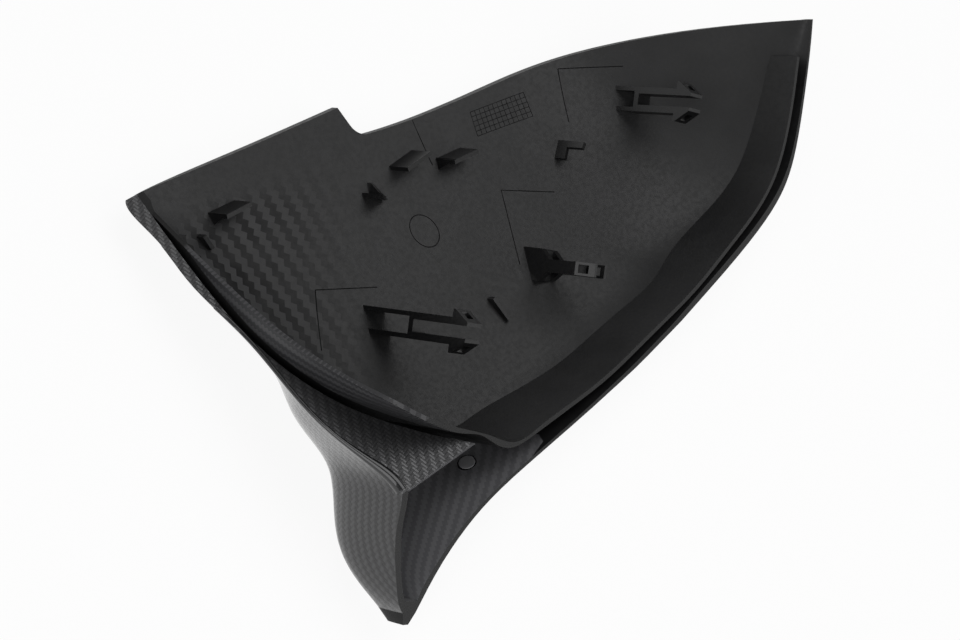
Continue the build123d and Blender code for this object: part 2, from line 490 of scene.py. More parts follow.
@dataclass(frozen=True)
class Twill:
    """Two-over-two twill cloth: each tow passes over two and under two, one step on from its neighbour."""

    tow: float = 2.1
    turn: float = 101.7
    along_fibre: float = 0.8
    across_fibre: float = 14.0

    def pattern(self, board: NodeBoard, vector: object) -> tuple[object, object, object]:
        """Twill on a vector in millimetres.

        The cell's column less its row, modulo four, is below two where the warp lies on top. The crown is a
        half sine across the tow on top, and the fibre noise is drawn out along it.

        Args:
            board: Node tree that gets the nodes.
            vector: Socket of places in millimetres.

        Returns:
            Sockets: 1 where the warp is on top, height across the tow, fibre noise.
        """
        mapping = board.add("ShaderNodeMapping")
        mapping.inputs["Rotation"].default_value = (0.0, 0.0, math.radians(self.turn))
        mapping.inputs["Scale"].default_value = (1 / self.tow, 1 / self.tow, 0.0)
        board.feed(mapping.inputs["Vector"], vector)
        parts = board.add("ShaderNodeSeparateXYZ")
        board.feed(parts.inputs[0], mapping.outputs[0])
        column, row = parts.outputs[0], parts.outputs[1]
        step = board.math("SUBTRACT", board.math("FLOOR", column), board.math("FLOOR", row))
        over = board.math("LESS_THAN", board.math("FLOORED_MODULO", step, 4.0), 1.5)
        across = board.mix(over, board.math("FRACT", row), board.math("FRACT", column))
        crown = board.math("SINE", board.math("MULTIPLY", across, math.pi))
        fine = board.add("ShaderNodeCombineXYZ")
        long, short = self.along_fibre, self.across_fibre
        board.feed(fine.inputs[0], board.math("MULTIPLY", column, board.mix(over, long, short)))
        board.feed(fine.inputs[1], board.math("MULTIPLY", row, board.mix(over, short, long)))
        fibre = board.noise(fine.outputs[0], 1.0, detail=1.0)
        return over, crown, fibre


@dataclass(frozen=True)
class LacqueredTwill:
    """Carbon-look cloth under a clear lacquer, for the outer skin and, in a paler tone, the ledge."""

    name: str = "lacquered_twill"
    cloth: Twill = Twill(tow=1.1)
    warp: Colour = (0.040, 0.040, 0.042, 1.0)
    weft: Colour = (0.014, 0.014, 0.015, 1.0)
    # Painted shade: the colour darkens towards each tow's edges, as light falls off its dome.
    painted_dome_shade: Span = (0.55, 1.0)
    fibre_shade: Span = (0.6, 1.3)
    rough: Span = (0.50, 0.38)
    dome_depth: float = 0.00012
    dome_strength: float = 0.35
    metal: float = 0.8
    gloss: float = 0.35
    lacquer_rough: float = 0.05
    lacquer_ior: float = 1.5

    def material(self) -> bpy.types.Material:
        """Tows of two tones that gleam along their fibres, domed a little with painted shade at their edges,
        under a smooth clear coat.

        Returns:
            The new material.
        """
        board = NodeBoard(self.name)
        places = board.add("ShaderNodeUVMap", uv_map=WEAVE_MAP)
        over, crown, fibre = self.cloth.pattern(board, places.outputs[0])
        tone = board.blend(over, self.weft, self.warp)
        # Painted shade of each tow's dome, darker towards its edges.
        shade = board.mix(crown, *self.painted_dome_shade)
        grain = board.mix(fibre, *self.fibre_shade)
        dim = board.add("ShaderNodeVectorMath", operation="SCALE")
        board.feed(dim.inputs[0], tone)
        board.feed(dim.inputs["Scale"], board.math("MULTIPLY", shade, grain))
        shader = board.shader.inputs
        board.feed(shader["Base Color"], dim.outputs[0])
        board.feed(shader["Roughness"], board.mix(over, *self.rough))
        board.feed(shader["Normal"], board.bump(crown, self.dome_depth, self.dome_strength))
        shader["Metallic"].default_value = self.metal
        shader["Specular IOR Level"].default_value = self.gloss
        shader["Coat Weight"].default_value = 1.0
        shader["Coat Roughness"].default_value = self.lacquer_rough
        shader["Coat IOR"].default_value = self.lacquer_ior
        return board.material


@dataclass(frozen=True)
class MouldedPlastic:
    """Dark moulded plastic with a fine mottled grain, and lacquer mist that carries the twill faintly."""

    cloth: Twill = Twill()
    tone: Colour = (0.0062, 0.0062, 0.0066, 1.0)
    worn: Colour = (0.0090, 0.0090, 0.0095, 1.0)
    mist_dark: Colour = (0.0020, 0.0020, 0.0023, 1.0)
    mist_light: Colour = (0.0200, 0.0200, 0.0212, 1.0)
    mottle_scale: float = 90.0
    grain_scale: float = 1900.0
    speck_scale: float = 700.0
    worn_from: Span = (0.35, 0.7)
    patch_from: Span = (0.3, 0.65)
    patch_share: Span = (0.55, 1.0)
    speck_from: Span = (0.35, 0.7)
    speck_share: Span = (0.6, 1.1)
    fibre_shade: Span = (0.45, 1.25)
    matt_rough: Span = (0.46, 0.58)
    misted_rough: Span = (0.90, 0.52)
    grain_depth: float = 0.00005
    grain_strength: float = 0.5
    gloss: float = 0.4

    def material(self) -> bpy.types.Material:
        """Mottle and grain on Object coordinates, and the twill where the mist reaches.

        Returns:
            The new material.
        """
        board = NodeBoard("moulded_plastic")
        place = board.add("ShaderNodeTexCoord").outputs["Object"]
        mottle = board.noise(place, self.mottle_scale, detail=3.0)
        grain = board.noise(place, self.grain_scale, detail=3.0)
        mist = board.add("ShaderNodeAttribute", attribute_name=MIST).outputs["Fac"]
        cloth_map = board.add("ShaderNodeUVMap", uv_map=WEAVE_MAP)
        over, _, fibre = self.cloth.pattern(board, cloth_map.outputs[0])
        plain = board.blend(board.between(mottle, *self.worn_from), self.tone, self.worn)
        tow = board.math("MULTIPLY", over, board.mix(fibre, *self.fibre_shade))
        misted = board.blend(tow, self.mist_dark, self.mist_light)
        patch = board.mix(board.between(mottle, *self.patch_from), *self.patch_share)
        patchy = board.math("MULTIPLY", mist, patch)
        shader = board.shader.inputs
        board.feed(shader["Base Color"], board.blend(patchy, plain, misted))
        speck = board.between(board.noise(place, self.speck_scale, detail=4.0), *self.speck_from)
        speckled = board.math("MULTIPLY", board.mix(mottle, *self.speck_share), speck)
        matt = board.mix(speckled, *self.matt_rough)
        glossy = board.mix(over, *self.misted_rough)
        board.feed(shader["Roughness"], board.mix(patchy, matt, glossy))
        board.feed(shader["Normal"], board.bump(grain, self.grain_depth, self.grain_strength))
        shader["Specular IOR Level"].default_value = self.gloss
        return board.material


@dataclass(frozen=True)
class SatinTwill:
    """Thin satin lacquer over the same cloth print, for the inside of the horn's pocket, in pale tones that
    are partly painted light.
    """

    name: str = "satin_twill"
    cloth: Twill = Twill(tow=1.1)
    # Paler than the outer skin's print: partly the satin finish, partly painted light standing in for what
    # the pocket's wall reflects.
    warp: Colour = (0.150, 0.150, 0.157, 1.0)
    weft: Colour = (0.108, 0.108, 0.114, 1.0)
    fibre_shade: Span = (0.5, 1.2)
    rough: Span = (0.52, 0.40)
    coat: float = 0.6
    coat_rough: float = 0.18

    def material(self) -> bpy.types.Material:
        """Two close greys in the twill's columns, drawn out by the fibres, under a satin coat.

        Returns:
            The new material.
        """
        board = NodeBoard(self.name)
        places = board.add("ShaderNodeUVMap", uv_map=WEAVE_MAP)
        over, crown, fibre = self.cloth.pattern(board, places.outputs[0])
        tow = board.math("MULTIPLY", over, board.mix(fibre, *self.fibre_shade))
        shader = board.shader.inputs
        board.feed(shader["Base Color"], board.blend(tow, self.weft, self.warp))
        board.feed(shader["Roughness"], board.mix(crown, *self.rough))
        shader["Coat Weight"].default_value = self.coat
        shader["Coat Roughness"].default_value = self.coat_rough
        return board.material


@dataclass(frozen=True)
class TrimmedEdge:
    """Black glossy lacquer on the trimmed rim, thin enough to show small scuffs."""

    tone: Colour = (0.0035, 0.0035, 0.0038, 1.0)
    scuffed: Colour = (0.008, 0.008, 0.0085, 1.0)
    scuff_scale: float = 420.0
    scuff_from: Span = (0.56, 0.72)
    rough: Span = (0.26, 0.42)
    gloss: float = 0.25

    def material(self) -> bpy.types.Material:
        """Near-black gloss that breaks into short dull scuffs.

        Returns:
            The new material.
        """
        board = NodeBoard("trimmed_edge")
        place = board.add("ShaderNodeTexCoord").outputs["Object"]
        scuff = board.between(board.noise(place, self.scuff_scale, detail=3.0), *self.scuff_from)
        shader = board.shader.inputs
        board.feed(shader["Base Color"], board.blend(scuff, self.tone, self.scuffed))
        board.feed(shader["Roughness"], board.mix(scuff, *self.rough))
        shader["Specular IOR Level"].default_value = self.gloss
        return board.material


@dataclass(frozen=True)
class StandingPlastic:
    """Smoother plastic of the clips and ribs, in a blacker tone that is painted shade, with faint draw lines
    along the mould.
    """

    # Blacker than the shell's plastic they are moulded with: painted shade for the faces that stand up from
    # the floor.
    tone: Colour = (0.0035, 0.0035, 0.0038, 1.0)
    drawn: Colour = (0.0055, 0.0055, 0.0060, 1.0)
    draw_lean: float = -MouldFrame.fall
    draw_length: float = 12.0
    streak_scale: float = 2400.0
    streak_from: Span = (0.35, 0.7)
    rough: Span = (0.28, 0.35)
    gloss: float = 0.4

    def material(self) -> bpy.types.Material:
        """Black plastic whose gloss follows fine streaks, drawn out along the way the mould opens.

        Returns:
            The new material.
        """
        board = NodeBoard("standing_plastic")
        mapping = board.add("ShaderNodeMapping", vector_type="TEXTURE")
        mapping.inputs["Rotation"].default_value = (math.radians(self.draw_lean), 0.0, 0.0)
        mapping.inputs["Scale"].default_value = (1.0, 1.0, self.draw_length)
        board.feed(mapping.inputs["Vector"], board.add("ShaderNodeTexCoord").outputs["Object"])
        streak = board.noise(mapping.outputs[0], self.streak_scale, detail=2.0)
        streak = board.between(streak, *self.streak_from)
        shader = board.shader.inputs
        board.feed(shader["Base Color"], board.blend(streak, self.tone, self.drawn))
        board.feed(shader["Roughness"], board.mix(streak, *self.rough))
        shader["Specular IOR Level"].default_value = self.gloss
        return board.material


@dataclass(frozen=True)
class WitnessLine:
    """Dull plastic of the fine lines that the mould's joints leave, near-black with painted shade."""

    # Painted shade: the low raised lines are coloured as dark as shaded grooves look.
    tone: Colour = (0.0025, 0.0025, 0.0027, 1.0)
    faded: Colour = (0.0090, 0.0090, 0.0094, 1.0)
    fade_scale: float = 240.0
    fade_from: Span = (0.45, 0.7)
    rough: Span = (0.75, 0.55)
    gloss: float = 0.12

    def material(self) -> bpy.types.Material:
        """Dark lines that fade here and there.

        Returns:
            The new material.
        """
        board = NodeBoard("witness_line")
        place = board.add("ShaderNodeTexCoord").outputs["Object"]
        fade = board.between(board.noise(place, self.fade_scale, detail=2.0), *self.fade_from)
        shader = board.shader.inputs
        board.feed(shader["Base Color"], board.blend(fade, self.tone, self.faded))
        board.feed(shader["Roughness"], board.mix(fade, *self.rough))
        shader["Specular IOR Level"].default_value = self.gloss
        return board.material


@dataclass(frozen=True)
class Ledge:
    """The plane of the ledge between the cover's slot and its lower edge, in the mould frame."""

    corner: Place = (-3.2, -0.1, 0.0)
    bearing: float = 119.2
    fall: float = 46.0

    def way(self) -> Grid:
        """Plan direction in which the ledge falls."""
        bearing = math.radians(self.bearing)
        return np.array([math.cos(bearing), math.sin(bearing)])

    def rows(self) -> Grid:
        """The ledge's own axes.

        Returns:
            Array (3, 3) of rows: the level line of the ledge, the line square to it, and its normal.
        """
        fall = math.radians(self.fall)
        across, along = self.way()
        level = np.array([along, -across, 0.0])
        normal = np.array([math.sin(fall) * across, math.sin(fall) * along, math.cos(fall)])
        return np.stack([level, np.cross(normal, level), normal])

    def aside(self, points: Grid) -> Grid:
        """Mould-frame points in the ledge's own axes, where the third is the height above it."""
        return (points - np.array(self.corner)) @ self.rows().T


@dataclass(frozen=True)
class CollarTwill:
    """The collar beside the ledge: cloth print above the ledge, painted black shade down in the slot."""

    mould: MouldFrame
    ledge: Ledge
    cloth: Twill = Twill(tow=1.1)
    warp: Colour = (0.058, 0.058, 0.061, 1.0)
    weft: Colour = (0.026, 0.026, 0.028, 1.0)
    # Near-black painted shade of the slot, below the ledge's plane, where the collar's face lies in shadow.
    slot_shade: Colour = (0.0015, 0.0015, 0.0016, 1.0)
    slot_edge: Span = (0.5, 1.0)
    fibre_shade: Span = (0.5, 1.2)
    rough: Span = (0.5, 0.38)
    slot_rough: float = 0.6
    gloss: float = 0.3

    def material(self) -> bpy.types.Material:
        """Print that ends where the height above the ledge's plane, on Object coordinates, falls away; below
        it, painted shade.

        Returns:
            The new material.
        """
        board = NodeBoard("collar_twill")
        up = self.mould.turn() @ self.ledge.rows()[2]
        foot = float(self.mould.out(np.array(self.ledge.corner)) @ up) / MM
        height = board.add("ShaderNodeVectorMath", operation="DOT_PRODUCT")
        board.feed(height.inputs[0], board.add("ShaderNodeTexCoord").outputs["Object"])
        height.inputs[1].default_value = (up / MM).tolist()
        low, high = (foot + edge for edge in self.slot_edge)
        printed = board.between(height.outputs["Value"], low, high)
        places = board.add("ShaderNodeUVMap", uv_map=WEAVE_MAP)
        over, crown, fibre = self.cloth.pattern(board, places.outputs[0])
        tow = board.math("MULTIPLY", over, board.mix(fibre, *self.fibre_shade))
        tone = board.blend(tow, self.weft, self.warp)
        shader = board.shader.inputs
        # Below the slot's edge the colour is painted shade of the slot.
        board.feed(shader["Base Color"], board.blend(printed, self.slot_shade, tone))
        print_rough = board.mix(crown, *self.rough)
        board.feed(shader["Roughness"], board.mix(printed, self.slot_rough, print_rough))
        shader["Specular IOR Level"].default_value = self.gloss
        return board.material


@dataclass(frozen=True)
class Ground:
    """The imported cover's upward faces, to find the level under a plan place."""

    corners: Grid
    slack: float = 1e-4

    def level(self, places: Grid, block: int = 250) -> Grid:
        """Highest level over each plan place, from the barycentric weights in every upward face.

        Args:
            places: Array (n, 2) of plan places in mould-frame millimetres.
            block: How many places are looked up at once.

        Returns:
            Array (n) of levels in millimetres.
        """
        first = self.corners[:, 0]
        one, two = self.corners[:, 1] - first, self.corners[:, 2] - first
        area = one[:, 0] * two[:, 1] - one[:, 1] * two[:, 0]
        found = []
        for some in np.array_split(places, max(1, len(places) // block)):
            off = some[:, None] - first[None, :, :2]
            weight_one = (off[..., 0] * two[:, 1] - off[..., 1] * two[:, 0]) / area
            weight_two = (one[:, 0] * off[..., 1] - one[:, 1] * off[..., 0]) / area
            inside = np.minimum(weight_one, weight_two) > -self.slack
            inside &= weight_one + weight_two < 1 + self.slack
            height = first[:, 2] + weight_one * one[:, 2] + weight_two * two[:, 2]
            found.append(np.where(inside, height, -np.inf).max(axis=1))
        return np.concatenate(found)


@dataclass
class CoverShell:
    """The moulded cover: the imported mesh, with its lacquered faces picked out and a cloth map laid on."""

    mould: MouldFrame
    skin: FrontSkin
    ledge: Ledge
    finishes: dict[Face, bpy.types.Material]
    skin_near: float = 0.35
    skin_lean: float = 0.4
    horn_end: float = -50.4
    tip_start: float = -36.0
    tip_near: float = 1.1
    ledge_near: float = 0.06
    rim_near: float = 0.06
    upward_lean: float = 0.02
    pocket_past: float = 0.3
    pocket_right: float = 36.0
    pocket_rim: Span = (21.8, -6.0)
    pocket_reach: tuple = ((-30.0, 60.0), (-1.5, 18.5), (4.5, 14.0), (12.0, 8.6), (22.0, 4.8))
    standing_off: float = 2.9
    collar_print: float = 5.0
    collar_line: tuple = (
        (138.9, 160.0), (138.2, 122.0), (136.9, 107.5), (133.2, 94.5), (124.5, 81.2), (112.7, 69.0),
        (96.5, 53.3), (75.4, 36.8), (55.2, 21.7), (37.0, 10.8), (22.0, 2.2), (12.0, -1.8), (4.5, -0.8),
        (-1.5, 1.2), (-11.0, 1.4), (-19.0, 2.4), (-30.0, 4.9), (-40.0, 8.8), (-47.0, 13.8),
        (-53.0, 20.4), (-57.2, 28.0), (-61.0, 37.4), (-68.0, 60.0),
    )
    collar_near: float = 2.4
    skin_turn: float = 23.3
    pocket_turn: float = -121.7
    ledge_turn: float = 68.6
    mist_reach: Span = (-46.0, 4.0)
    bare_line: tuple[Span, Span] = ((-73.0, 55.0), (1.0, 94.5))
    bare_band: Span = (7.0, 21.0)
    points: Grid = field(init=False)
    faces: Grid = field(init=False)
    mesh: bpy.types.Mesh = field(init=False)

    def __post_init__(self) -> None:
        """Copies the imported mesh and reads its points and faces."""
        self.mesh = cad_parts[NODE].data.copy()
        self.mesh.name = "cover_shell"
        places = np.empty(len(self.mesh.vertices) * 3)
        self.mesh.vertices.foreach_get("co", places)
        self.points = self.mould.into(places.reshape(-1, 3))
        corners = np.empty(len(self.mesh.loops), dtype=np.int64)
        self.mesh.loops.foreach_get("vertex_index", corners)
        self.faces = corners.reshape(-1, 3)

    def normals(self) -> Grid:
        """Face normals in the mould frame."""
        corners = self.points[self.faces]
        return unit(np.cross(corners[:, 1] - corners[:, 0], corners[:, 2] - corners[:, 0]) + TINY)

    def ground(self) -> Ground:
        """The faces that look up in the mould frame."""
        return Ground(self.points[self.faces][self.normals()[:, 2] > self.upward_lean])

    def collar_places(self) -> tuple[Grid, Grid]:
        """Places along the collar's line, and distances from it, by its straight segments.

        Returns:
            Array (n, 2) of the run along the line and the level, and array (n) of plan distances.
        """
        line = np.array(self.collar_line)
        start, run = line[:-1], np.diff(line, axis=0)
        length = np.linalg.norm(run, axis=1)
        off = self.points[:, None, :2] - start
        share = np.clip((off * run).sum(2) / length**2, 0, 1)
        away = np.linalg.norm(off - share[..., None] * run, axis=2)
        best = away.argmin(1)
        each = np.arange(len(best))
        along = (np.cumsum(length) - length)[best] + share[each, best] * length[best]
        return np.stack([along, self.points[:, 2]], axis=1), away[each, best]

    def mist(self) -> Grid:
        """How much lacquer mist lies at each point: it thins out along the cover and stops short of its edge.

        Returns:
            Array (n) of shares from 0 to 1.
        """
        line = np.array(self.bare_line)
        run = unit(line[1] - line[0])
        inside = (self.points[:, :2] - line[0]) @ np.array([run[1], -run[0]])
        return (1 - ease(self.points[:, 0], *self.mist_reach)) * ease(inside, *self.bare_band)

    def pick(self, miss: Grid) -> tuple[Grid, Grid, Grid]:
        """Finds the faces on the skin, on the ledge and in the horn's pocket.

        Args:
            miss: Distance of each point from the outer skin in millimetres.

        Returns:
            Three arrays of one flag a face.
        """
        aside = self.ledge.aside(self.points)[:, 2]
        behind = (self.points[:, :2] - np.array(self.ledge.corner[:2])) @ self.ledge.way()
        near = np.where(self.points[:, 1] < self.tip_start, self.tip_near, self.skin_near)
        on_skin = (miss < near) | (self.points[:, 1] < self.horn_end)
        on_ledge = np.abs(aside) < self.ledge_near
        rim_run = spin(self.skin.rim_bearing)[0]
        from_rim = (self.points[:, :2] - np.array(self.pocket_rim)) @ np.array([-rim_run[1], rim_run[0]])
        reach = np.interp(self.points[:, 0], *np.array(self.pocket_reach).T)
        in_pocket = (behind < self.pocket_past) & (from_rim < reach)
        in_pocket &= self.points[:, 0] < self.pocket_right
        return tuple(flag[self.faces].all(1) for flag in (on_skin, on_ledge, in_pocket))

    def build(self) -> bpy.types.Object:
        """Lays the cloth map, picks the faces of each finish and dresses them.

        Returns:
            The cover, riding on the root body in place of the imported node.
        """
        mesh, faces = self.mesh, self.faces
        along, across, miss = self.skin.locate(self.points)
        on_skin, on_ledge, in_pocket = self.pick(miss)
        on_skin &= self.normals()[:, 2] < self.skin_lean
        in_pocket &= ~on_skin & ~on_ledge
        on_rim = (np.abs(self.points[:, 2]) < self.rim_near)[faces].all(1)
        on_end = (self.points[:, 1] < self.horn_end)[faces].all(1)
        cloth = self.skin.weave_places(along, across)[faces]
        flat = self.ledge.aside(self.points)[:, :2][faces]
        cloth[on_skin] = cloth[on_skin] @ spin(self.skin_turn)
        cloth[in_pocket] = cloth[in_pocket] @ spin(self.pocket_turn)
        cloth[on_ledge] = flat[on_ledge] @ spin(self.ledge_turn)
        finish = np.select(
            [on_ledge, on_skin, in_pocket], [Face.LEDGE, Face.LACQUER, Face.POCKET], Face.PLASTIC
        )
        collar, away = self.collar_places()
        by_collar = (away < self.collar_near)[faces]
        # Collar faces: cloth print above the ledge, painted slot shade below it.
        printed = by_collar.all(1) & (self.points[:, 0] < self.collar_print)[faces].all(1)
        printed &= finish == Face.PLASTIC
        cloth[printed] = collar[faces[printed]]
        # Faces that stand off the skin, the clips and ribs, take the blacker plastic, whose tone is painted
        # shade.
        standing = (miss[faces].mean(1) > self.standing_off) & ~by_collar.any(1)
        standing &= finish == Face.PLASTIC
        finish = np.select(
            [on_rim | on_end, printed, standing], [Face.EDGE, Face.COLLAR, Face.STANDING], finish
        ).astype(np.int32)
        layer = mesh.uv_layers.new(name=WEAVE_MAP)
        layer.uv.foreach_set("vector", cloth.astype(np.float32).ravel())
        mist = mesh.attributes.new(MIST, "FLOAT", "POINT")
        mist.data.foreach_set("value", self.mist().astype(np.float32))
        mesh.materials.clear()
        for face in Face:
            mesh.materials.append(self.finishes[face])
        mesh.polygons.foreach_set("material_index", finish)
        cover = bpy.data.objects.new("cover_shell", mesh)
        bpy.context.scene.collection.objects.link(cover)
        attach(cover, BODY)
        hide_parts(NODE)
        log.info("cover_shell: %d faces, %d lacquered", len(faces), int((finish == Face.LACQUER).sum()))
        return cover


@dataclass(frozen=True)
class CreaseBead:
    """The rounded lacquer edge where the ledge meets the outer skin, widest at the horn's corner."""

    mould: MouldFrame
    skin: FrontSkin
    ledge: Ledge
    reach: Span = (3.8, 6.6)
    radius: float = 0.7
    corner_radius: float = 1.9
    widening: Span = (4.9, 3.9)
    proud: float = 0.18
    ledge_middle: Place = (-45.0, 5.0, -28.0)
    probe: float = 0.02
    halvings: int = 30
    steps: int = 160
    sides: int = 13

    def line(self) -> tuple[Grid, Grid]:
        """Finds the crease by halving the span in which each rung's arc rises through the ledge's plane.

        Returns:
            Places along the skin, and places across it.
        """
        along = np.linspace(*self.reach, self.steps) / (self.skin.rung_count() - 1)
        low, high = np.ones_like(along), np.full_like(along, 2.0)
        for _ in range(self.halvings):
            middle = (low + high) / 2
            above = self.ledge.aside(self.skin.surface(along, middle))[:, 2] > 0
            low, high = np.where(above, low, middle), np.where(above, middle, high)
        return along, high

    def build(self, finish: bpy.types.Material) -> bpy.types.Object:
        """Carries a round profile along the crease.

        The profile's middle lies inside the corner, on the line that halves it, so that the round stands
        proud by the same amount all along. Its radius grows by a smooth step towards the horn's corner, and
        the last ring at each end is drawn in to close it.

        Args:
            finish: The material of the bead.

        Returns:
            The bead.
        """
        along, across = self.line()
        crest = self.skin.surface(along, across)
        lower = self.skin.surface(along, across - self.probe)
        run = unit(np.gradient(crest, axis=0))
        down = unit((lower - crest) - ((lower - crest) * run).sum(1, keepdims=True) * run)
        inward = unit(np.cross(self.ledge.rows()[2], run))
        inward = inward * np.sign(((np.array(self.ledge_middle) - crest) * inward).sum())
        outward = -unit(down + inward)
        side = np.cross(outward, run)
        grow = ease(-along * (self.skin.rung_count() - 1), -self.widening[0], -self.widening[1])
        radius = (self.radius + (self.corner_radius - self.radius) * grow)[:, None, None]
        radius[[0, -1]] = 0.0
        heart = crest - outward * (radius[:, 0] - self.proud)
        turn = np.linspace(0, 2 * math.pi, self.sides)[None, :, None]
        ring = heart[:, None] + radius * (np.cos(turn) * outward[:, None] + np.sin(turn) * side[:, None])
        faces = quads(self.steps, self.sides)
        return piece("crease_bead", self.mould.out(ring.reshape(-1, 3)), faces, finish)


@dataclass(frozen=True)
class MouldMarks:
    """Fine raised lines that the mould leaves on the floor: a ring, slide outlines and a blank grid."""

    mould: MouldFrame
    ground: Ground
    width: float = 0.34
    height: float = 0.16
    fine_width: float = 0.22
    fine_height: float = 0.1
    pitch: float = 0.5
    ring_place: Span = (24.3, 60.0)
    ring_radius: float = 4.9
    ring_steps: int = 73
    profile: tuple[float, ...] = (-0.5, -0.2, 0.2, 0.5)
    foot_depth: float = 0.05
    slides: tuple = (
        ((4.0, 40.4), (-16.5, 37.0), (-18.8, 19.2)), ((74.2, 79.3), (54.7, 77.0), (55.3, 53.7)),
        ((101.7, 125.4), (83.0, 121.0), (84.4, 103.6)), ((27.5, 95.0), (31.7, 81.4)),
    )
    grid_corners: tuple = ((49.4, 101.0), (70.3, 111.0), (50.5, 93.5), (72.2, 103.5))
    grid_rows: int = 6
    grid_columns: int = 13

    def paths(self) -> list[tuple[Grid, float, float]]:
        """All lines on the floor.

        Returns:
            For each line its evenly spaced plan places, its width and its height.
        """
        turn = np.linspace(0, 2 * math.pi, self.ring_steps)
        circle = np.stack([np.cos(turn), np.sin(turn)], axis=1)
        lines = [(np.array(self.ring_place) + self.ring_radius * circle, self.width, self.height)]
        for slide in self.slides:
            lines += [(self.straight(a, b), self.width, self.height) for a, b in zip(slide, slide[1:])]
        near_start, near_end, far_start, far_end = np.array(self.grid_corners)
        ways = (
            (self.grid_rows, near_start, far_start, near_end, far_end),
            (self.grid_columns, near_start, near_end, far_start, far_end),
        )
        for count, first, last, first_end, last_end in ways:
            for share in np.linspace(0, 1, count):
                start, end = first + (last - first) * share, first_end + (last_end - first_end) * share
                lines.append((self.straight(start, end), self.fine_width, self.fine_height))
        return lines

    def straight(self, start: Grid, end: Grid) -> Grid:
        """Evenly spaced places on a straight line.

        Args:
            start: Plan place of the first.
            end: Plan place of the last.

        Returns:
            Array (n, 2) of plan places, about a pitch apart.
        """
        start, end = np.array(start), np.array(end)
        count = max(3, int(np.linalg.norm(end - start) / self.pitch))
        return start + (end - start) * np.linspace(0, 1, count)[:, None]

    def ridge(self, path: Grid, width: float, height: float) -> Grid:
        """Carries a low flat-topped profile along a line on the floor.

        Each profile point is the path's place plus a share of the width to its left, at the floor's level
        under it plus a share of the height.

        Args:
            path: Array (n, 2) of plan places.
            width: Width at the foot in millimetres.
            height: Height of the top in millimetres.

        Returns:
            Array (n, 4, 3) in mould-frame millimetres.
        """
        run = unit(np.gradient(path, axis=0))
        left = np.stack([-run[:, 1], run[:, 0]], axis=1)
        share = np.array(self.profile)[None, :, None]
        rise = np.array([-self.foot_depth, height, height, -self.foot_depth])
        plan = path[:, None] + left[:, None] * share * width
        level = self.ground.level(plan.reshape(-1, 2)).reshape(plan.shape[:2]) + rise
        return np.concatenate([plan, level[..., None]], axis=2)

    def build(self, finish: bpy.types.Material) -> bpy.types.Object:
        """Builds all lines as one piece.

        Args:
            finish: The material of the lines.

        Returns:
            The lines.
        """
        grids = [self.ridge(*line) for line in self.paths()]
        corners = len(self.profile)
        starts = np.cumsum([0] + [corners * len(grid) for grid in grids])
        faces = np.concatenate([quads(len(grid), corners, first) for grid, first in zip(grids, starts)])
        points = np.concatenate([grid.reshape(-1, 3) for grid in grids])
        return piece("mould_marks", self.mould.out(points), faces, finish)


@dataclass(frozen=True)
class GateMark:
    """The round trimmed gate on the wall of the horn's pocket, or the larger, lower black disc round it,
    which is painted shade.
    """

    mould: MouldFrame
    place: Place = (14.5, -8.7, -17.8)
    normal: Place = (-0.572, 0.801, 0.18)
    lie: float = 0.74
    name: str = "gate_mark"
    half_width: float = 2.8
    half_length: float = 3.6
    proud: float = 0.5
    sunk: float = 0.4
    fall_from: float = 0.88
    steps: int = 25

    def build(self, finish: bpy.types.Material) -> bpy.types.Object:
        """Maps a square grid to a disc on the wall.

        A grid place (a, b) goes to (a times the root of 1 less half b squared, and the same for b), which
        is stretched a little along the wall. The disc is flat almost to its edge, and there it falls into
        the wall.

        Args:
            finish: The material of the disc.

        Returns:
            The disc.
        """
        normal = unit(np.array(self.normal))
        level = unit(np.cross(np.array([0.0, 0.0, 1.0]), normal))
        way = unit(level + self.lie * np.cross(normal, level))
        side = np.cross(way, normal)
        span = np.linspace(-1, 1, self.steps)
        a, b = np.meshgrid(span, span, indexing="ij")
        across, along = a * np.sqrt(1 - b * b / 2), b * np.sqrt(1 - a * a / 2)
        fall = ease(np.hypot(across, along), self.fall_from, 1.0)
        rise = self.proud - (self.proud + self.sunk) * fall
        flat = self.half_width * across[..., None] * side + self.half_length * along[..., None] * way
        points = (np.array(self.place) + flat + rise[..., None] * normal).reshape(-1, 3)
        return piece(self.name, self.mould.out(points), quads(self.steps, self.steps), finish)


@dataclass(frozen=True)
class Lamp:
    """One soft square lamp."""

    name: str
    place: Place
    size: float
    power: float
    aim: Place = (0.0, 0.0, 0.02)

    def hang(self) -> None:
        """Hangs the lamp at its place and aims it."""
        light = bpy.data.lights.new(self.name, "AREA")
        light.size, light.energy = self.size, self.power
        lamp = bpy.data.objects.new(self.name, light)
        bpy.context.scene.collection.objects.link(lamp)
        lamp.location = self.place
        lamp.rotation_euler = (Vector(self.aim) - Vector(self.place)).to_track_quat("-Z", "Y").to_euler()


